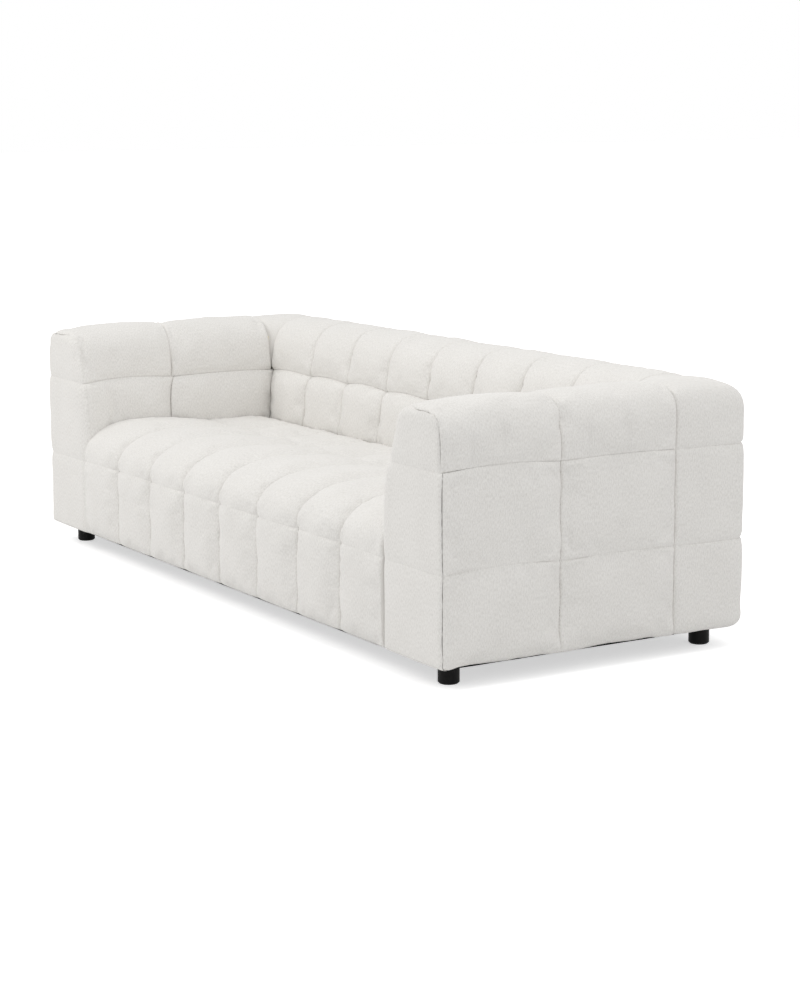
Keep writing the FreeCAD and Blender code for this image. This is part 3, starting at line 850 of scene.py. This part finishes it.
back_bows = [0.007, 0.009, 0.012, 0.009, 0.01, 0.009, 0.011, 0.007]
row, seams, strength = back_row((back_corner, 0.0), 1.0, np.ones(1), 2.4)
quilt(
    "back_outer_cover", outer_section, row, seams, strength, outer_lining, on_back, 51,
    rows=[1, 2], joins=[2], bows=back_bows,
)
row, seams, strength = back_row((back_corner, -corner_lean), 1.0, cap_over, 2.4)
strength[0] = strength[-1] = cap_corner
quilt(
    "back_cap_cover", cap_section, row, seams, strength, cap_lining, on_back, 61,
    rows=[0, 1], joins=[0, 1], bows=back_bows,
)
row, seams, strength = back_row((half_width - end_gap, -1.0), 0.8, np.ones(1), 2.2)
quilt(
    "back_inner_cover", inner_section, row, seams, strength, inner_lining, on_back, 71,
    rows=[0], joins=[0], bows=back_bows,
)


# Corner covers
# Each rear corner has its own cover that turns from the arm to the back, with a square pad on top that
# narrows into the inner corner between the two seams.
corner_top = tuple(place[:3] for place in cap_top[:7]) + (
    (0.17, 0.709, 0.005), (0.206, 0.683, 0.004), (0.227, 0.639, 0.002),
    (0.24, 0.594, 0.001), (0.246, 0.556, 0.000),
)
corner_lining = (
    (0.246, 0.55), (0.23, 0.57), (0.208, 0.63), (0.17, 0.685), (0.045, 0.69),
    (0.028, 0.676), (0.028, 0.059),
)
corner_radius = 0.042
seam_gap = 0.0005
corner_end = corner_top[-1][0]
first = half_depth - arm_corner - corner_radius
last = half_width - back_corner - corner_radius
arc = corner_radius * np.pi / 2
part = closing(76)
at = part * (first + arc + last)


def corner_places(side, points):
    """Section points (distance in, height) swept along a rounded square about the inner corner."""
    share = 1 - points[..., 0] / corner_end
    base_x = back_corner + seam_gap - corner_lean * points[..., 0]
    base_y = arm_corner + seam_gap - arm_corner_lean * points[..., 0]
    reach_x = (half_width - back_corner - seam_gap) * share
    reach_y = (half_depth - arm_corner - seam_gap) * share
    radius = np.minimum(corner_radius + 0.35 * points[..., 0], 0.95 * np.minimum(reach_x, reach_y))
    up_side = np.clip(at / first, 0, 1)[:, None]
    turned = (np.clip((at - first) / arc, 0, 1) * np.pi / 2)[:, None]
    back_side = np.clip((at - first - arc) / last, 0, 1)[:, None]
    x = (reach_x - radius) * (1 - back_side) + radius * np.cos(turned)
    y = (reach_y - radius) * up_side + radius * np.sin(turned)
    straight = smooth((points[..., 0] - 0.09) / 0.1)
    x = base_x + (1 - straight) * x + straight * reach_x * (1 - part[:, None])
    y = base_y + (1 - straight) * y + straight * reach_y * part[:, None]
    return together(side * x, y, points[..., 1])


section = outline(outer_low, outer_middle[:-1] + ((0.0038, 0.5511, 0.004),), corner_top)
shares = 1 - np.sqrt(1 - np.abs(2 * part - 1) ** 3.0)
crossing = from_seams(section, [1, 2])[None, :]
to_seam = np.minimum(at, at[-1] - at)[:, None]
inward = drawn_in(section, shares[:, None], 1.0, to_seam, crossing, 0.006)
points = section["points"] - inward[..., None] * section["outward"]
cloth = together(at[:, None], section["distance"])
for side, word in both_sides:
    sheet, behind = corner_places(side, points), corner_places(side, np.array(corner_lining)[None])
    sheet = eased(sheet, np.minimum(to_seam, crossing), 0.001, 81 + side, to_seam + 0 * crossing)
    dress_closed(word + "_corner_cover", sheet, cloth, behind)


# Arm front covers
# A padded panel closes each arm's front. Its outer edge and top are sewn to a crisp line, its inner side
# turns softly into the arm, and two creases carry the rows of the outside across it.
panel_recess = 0.024


def climbing(line):
    """Only the points of a line that lie above all before them."""
    high = np.maximum.accumulate(np.concatenate(([-1], line[:-1, 1])))
    return line[line[:, 1] > high]


def rounded(distance, radius, share):
    """Share of the thickness beside an edge that keeps some of it."""
    return share + (1 - share) * turned_edge(distance, radius)


def front_panel(side):
    """The panel's places (in from the outer face, up), within the covers' own front ends."""
    outer, cap, inner = (
        together(half_width - side * line[side][:, 0], line[side][:, 2], line[side][:, 1])
        for line in (outer_line, cap_line, inner_line)
    )
    over = int(np.argmax(cap[:, 1]))
    top_outer = int(np.argmin(np.abs(cap[:over, 1] - 0.66)))
    top_inner = over + int(np.argmin(np.abs(cap[over:, 1] - 0.64)))
    outer_side = np.concatenate((outer[6:], cap[:top_outer + 1]))
    outer_side[0, 1] = cover_bottom
    outer_side = climbing(outer_side[:, :2])
    foot = [(inner[-1, 0], cover_bottom), (inner[-1, 0], 0.35)]
    inner_side = climbing(np.concatenate((foot, inner[::-1, :2], cap[top_inner:][::-1, :2])))
    inner_up = heights + rise * (cap[top_inner, 1] - heights[-1])
    outer_up = heights + rise * (cap[top_outer, 1] - heights[-1])
    inner_across = np.interp(inner_up, inner_side[:, 1], inner_side[:, 0])
    outer_across = np.interp(outer_up, outer_side[:, 1], outer_side[:, 0])
    arch = resampled(cap[top_outer:top_inner + 1][::-1], across)
    arch, arch_front = arch[:, :2], arch[:, 2]
    chord = (1 - across)[:, None] * arch[0] + across[:, None] * arch[-1]
    inner_edge, outer_edge = together(inner_across, inner_up), together(outer_across, outer_up)
    panel = (1 - across)[:, None, None] * inner_edge + across[:, None, None] * outer_edge
    panel = panel + (rise ** 1.6)[None, :, None] * (arch - chord)[:, None, :]
    edges = rounded(from_line(panel, outer_side), outer_round, mitre_share)
    edges = edges * turned_edge(from_line(panel, inner_side), inner_round)
    edges = edges * rounded(from_line(panel, arch), top_round, mitred(panel[..., 0]))
    crown = panel_crown * middle * turned_edge(from_line(panel, arch), 0.09)
    return panel, edges * turned_edge(panel[..., 1] - cover_bottom, foot_round), crown, arch_front


heights = np.concatenate([
    low + (high - low) * closing(count_for(high - low))[1 if low > cover_bottom else 0:]
    for low, high in ((cover_bottom, lower_row), (lower_row, upper_row), (upper_row, 0.65))
])
across = closing(72)
rise = np.clip((heights - upper_row) / (heights[-1] - upper_row), 0, 1)
middle = np.sqrt(np.clip(4 * across * (1 - across), 0, 1))[:, None]
# The rim leans back to the panel's smaller rear outline
centre = np.array((0.14, 0.38))
for side, word in both_sides:
    panel, edges, crown, arch_front = front_panel(side)
    thick = edges * (panel_thick + crown - panel_pinch * row_share(panel[..., 1]))
    recess = np.minimum(panel_recess * thick / panel_thick, panel_recess)
    sheet = together(side * (half_width - panel[..., 0]), front_back - thick, panel[..., 1])
    sheet[..., 1] -= 0.0008 * waves(sheet, 0.12, 91 + side) * edges
    sheet[:, -1, 1] = arch_front - 0.0003
    # At the crisp seam its edge is tucked a little under the arm's
    tucked = mitred(panel[:, -1, 0]) / mitre_share
    sheet[:, -1] += tucked[:, None] * np.array((0, 0.003, -0.002))
    # Round the inside its edge laps over the arm's own cover
    over = 1 - smooth(mitred(panel[:, -1, 0]) / 0.15)
    sheet[:, -1] += over[:, None] * np.array((-side * 0.0003, 0.003, 0.0003))
    lap = (panel[0, :, 1] > 0.36) & (mitred(panel[0, :, 0]) == 0)
    lap[-1] = False
    sheet[0, lap] += (-side * 0.0004, 0.003, 0)
    index = grid_index(sheet)
    quads = grid_quads(index).reshape(-1, 4)
    rim = np.concatenate((index[:, 0], index[-1, 1:], index[-2::-1, -1], index[0, -2:0:-1]))
    rim_points = panel.reshape(-1, 2)[rim]
    inward = centre - rim_points
    inward[:, 1] = np.where(rim_points[:, 1] > 0.63, np.minimum(inward[:, 1], 0), 0)
    inward /= np.maximum(np.linalg.norm(inward, axis=1), 1e-6)[:, None]
    rear = rim_points + inward * recess.reshape(-1)[rim][:, None]
    rear = together(side * (half_width - rear[:, 0]), front_back - 0.0001, rear[:, 1])
    spots = np.concatenate((sheet.reshape(-1, 3), rear))
    behind = index.size + np.arange(len(rim))
    band = together(rim, np.roll(rim, -1), np.roll(behind, -1), behind)
    faces = quads.tolist() + band[:, ::-1].tolist() + [behind[::-1].tolist()]
    name = word + "_arm_front_cover"
    mesh = new_mesh(name + ".quilted", spots, faces)
    mesh.update()
    if mesh.polygons[len(quads) // 2].normal.y > 0:
        mesh.flip_normals()
    set_cloth(mesh, np.concatenate((panel.reshape(-1, 2), rim_points)))
    dress(name, mesh)


# Stitches
# The thread that draws the pads in: short stitches end to end along the bottom of every upright seam. The
# thread is real, but its grey is painted shade: darker than the ivory weave so that the seams read dark.
shaded_thread_finish, tree, shader = new_finish("thread_with_painted_shade", 0.6, 0.3)
strands = grain(tree, 1500.0)
# Painted shade: these greys lie below the weave's own ivory and stand in for the shade in the seam's crease
two_tones(tree, shader, strands, 0.35, 0.7, (0.38, 0.365, 0.34), (0.54, 0.52, 0.49))
raise_by(tree, shader, strands, 0.3, 0.0002)

# Geometry nodes that set a stitch at every step along the seam paths
sewing = bpy.data.node_groups.new("stitches", "GeometryNodeTree")
sewing.interface.new_socket("Geometry", in_out="INPUT", socket_type="NodeSocketGeometry")
for name, size in (("Stitch step", 0.0075), ("Stitch length", 0.006), ("Thread radius", 0.0005)):
    socket = sewing.interface.new_socket(name, in_out="INPUT", socket_type="NodeSocketFloat")
    socket.default_value = size
sewing.interface.new_socket("Geometry", in_out="OUTPUT", socket_type="NodeSocketGeometry")
start, end, line, steps, stitch, laid, real, finish = (sewing.nodes.new(kind) for kind in (
    "NodeGroupInput", "NodeGroupOutput", "GeometryNodeMeshToCurve", "GeometryNodeCurveToPoints",
    "GeometryNodeMeshCylinder", "GeometryNodeInstanceOnPoints", "GeometryNodeRealizeInstances",
    "GeometryNodeSetMaterial",
))
steps.mode = "LENGTH"
stitch.inputs["Vertices"].default_value = 6
finish.inputs["Material"].default_value = shaded_thread_finish
for source, output, target, into in (
    (start, "Geometry", line, "Mesh"), (line, "Curve", steps, "Curve"),
    (start, "Stitch step", steps, "Length"), (start, "Stitch length", stitch, "Depth"),
    (start, "Thread radius", stitch, "Radius"), (steps, "Points", laid, "Points"),
    (steps, "Rotation", laid, "Rotation"), (stitch, "Mesh", laid, "Instance"),
    (laid, "Instances", real, "Geometry"), (real, "Geometry", finish, "Geometry"),
    (finish, "Geometry", end, "Geometry"),
):
    sewing.links.new(source.outputs[output], target.inputs[into])

spots, edges = [], []
for path in seam_paths:
    edges += [(len(spots) + i, len(spots) + i + 1) for i in range(len(path) - 1)]
    spots += path.tolist()
holder = put("seam_lines", new_mesh("seam_lines", spots, [], edges))
holder.modifiers.new("stitches", "NODES").node_group = sewing
bpy.context.view_layer.update()
baked = bpy.data.meshes.new_from_object(holder.evaluated_get(bpy.context.evaluated_depsgraph_get()))
bpy.data.objects.remove(holder)
baked.name = "seam_stitches"
stitches = put("seam_stitches", baked)
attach(stitches, "root")


# Feet
# Turned black plastic, satin, with the fine grain of the mould.
plastic, tree, shader = new_finish("black_plastic", 0.42, 0.12)
scuffs = grain(tree, 60.0, 4.0)
two_tones(tree, shader, scuffs, 0.4, 0.75, (0.0025, 0.0025, 0.0024), (0.006, 0.0058, 0.0055))
uneven_gloss(tree, shader, scuffs, 0.36, 0.55)
raise_by(tree, shader, grain(tree, 900.0), 0.15, 0.0004)
set_finish(plastic, "feet")


# Dust cover
# Black non-woven cloth stapled under the whole frame, cut out round the feet, slack between its staples.
dust_half_x = 1.206
dust_front = -0.46
dust_rear = 0.459
dust_level = 0.0555
dust_thick = 0.0006
dust_step = 0.014
foot_gap = 0.031
foot_x, foot_y = 1.134, 0.399


def cut_lines(low, high, foot):
    """Even grid lines between two edges, with a line on either side of every foot."""
    cuts = [s * foot + d for s in (-1, 0, 1) for d in (-foot_gap, foot_gap)]
    lines = np.linspace(low, high, int((high - low) / dust_step) + 1)
    return np.array(sorted([v for v in lines if min(abs(v - cut) for cut in cuts) > dust_step * 0.4] + cuts))


xs, ys = cut_lines(-dust_half_x, dust_half_x, foot_x), cut_lines(dust_front, dust_rear, foot_y)
grid = together(xs[:, None], ys, 0.0)
from_side = np.minimum(grid[..., 1] - dust_front, dust_rear - grid[..., 1])
from_side = np.minimum(dust_half_x - np.abs(grid[..., 0]), from_side)
slack = 1 - np.exp(-(from_side / 0.06) ** 2)
sag = np.clip(0.5 + 0.5 * waves(grid, 0.11, 101), 0, 1.3)
grid[..., 2] = dust_level - sag * (0.0004 + 0.0056 * slack)
middle_x, middle_y = (xs[:-1] + xs[1:]) / 2, (ys[:-1] + ys[1:]) / 2
at_foot = np.zeros((len(middle_x), len(middle_y)), bool)
for x, y in [(s * foot_x, t * foot_y) for s in (-1, 1) for t in (-1, 1)] + [(0, 0)]:
    at_foot |= (np.abs(middle_x - x) < foot_gap)[:, None] & (np.abs(middle_y - y) < foot_gap)
quads = grid_quads(grid_index(grid))[~at_foot]
mesh = new_mesh("dust_cover.cloth", grid, quads.tolist())
mesh.shade_smooth()
dust = put("dust_cover.cloth", mesh)
shell = dust.modifiers.new("thickness", "SOLIDIFY")
shell.thickness = dust_thick
cloth_black, tree, shader = new_finish("black_cloth", 0.9, 0.2)
fibres = grain(tree, 700.0, 4.0)
two_tones(tree, shader, fibres, 0.35, 0.7, (0.004, 0.004, 0.0045), (0.02, 0.02, 0.021))
raise_by(tree, shader, fibres, 0.4, 0.0005)
mesh.materials.append(cloth_black)
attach(dust, "root")
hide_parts("dust_cover")


# Floor and light
# A plain white studio: soft light from all round, and a broad lamp above the sofa's left front.
def seen_directly(tree):
    """The wire that is 1 for rays from the camera and for what gloss or glass shows."""
    seen = add(tree, "LightPath", {})
    glossy = combined(tree, "MAXIMUM", (seen, "Is Camera Ray"), (seen, "Is Glossy Ray"))
    return combined(tree, "MAXIMUM", glossy, (seen, "Is Transmission Ray"))


floor_white, tree, shader = new_finish("floor_white", 0.9, 0.1)
shader.inputs["Base Color"].default_value = (0.88, 0.88, 0.88, 1)
shader.inputs["Emission Color"].default_value = (0.58, 0.58, 0.58, 1)
shown, output = seen_directly(tree)
tree.links.new(shown.outputs[output], shader.inputs["Emission Strength"])
reach = 60.0
ground = [(x * reach, y * reach, 0) for x, y in ((-1, -1), (1, -1), (1, 1), (-1, 1))]
floor_mesh = new_mesh("floor", ground, [(0, 1, 2, 3)])
floor_mesh.materials.append(floor_white)
floor = put("floor", floor_mesh)
floor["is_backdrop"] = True

world = bpy.data.worlds.new("studio")
scene.world = world
world.use_nodes = True
tree = world.node_tree
plain = tree.nodes["Background"]
plain.inputs["Color"].default_value = (1.0, 1.0, 1.0, 1)
plain.inputs["Strength"].default_value = 0.73
white = add(tree, "Background", {"Color": (1, 1, 1, 1), "Strength": 1.0})
shades = [(0, *seen_directly(tree)), (1, plain, "Background"), (2, white, "Background")]
choice = add(tree, "MixShader", {}, shades)
tree.links.new(choice.outputs["Shader"], tree.nodes["World Output"].inputs["Surface"])

for name, place, aim, width, watts, colour in (
    ("soft_box", (-2.6, -4.2, 4.4), (0, 0, 0.3), 2.6, 87.0, (1.0, 0.98, 0.955)),
    ("top_box", (1.6, -0.3, 4.2), (-0.4, 0, 0.5), 2.0, 32.0, (1.0, 0.99, 0.98)),
    ("rear_box", (4.6, 3.6, 2.6), (0.6, 0, 0.4), 1.8, 16.0, (1.0, 0.99, 0.98)),
):
    light = bpy.data.lights.new(name, "AREA")
    light.size = width
    light.energy = watts
    light.color = colour
    towards = (Vector(aim) - Vector(place)).to_track_quat("-Z", "Y").to_matrix()
    put(name, light).matrix_world = Matrix.Translation(place) @ towards.to_4x4()

scene.view_settings.view_transform = "Standard"
size = {"cad": [list(corner) for corner in cad_box], "visual": [list(corner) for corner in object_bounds()]}
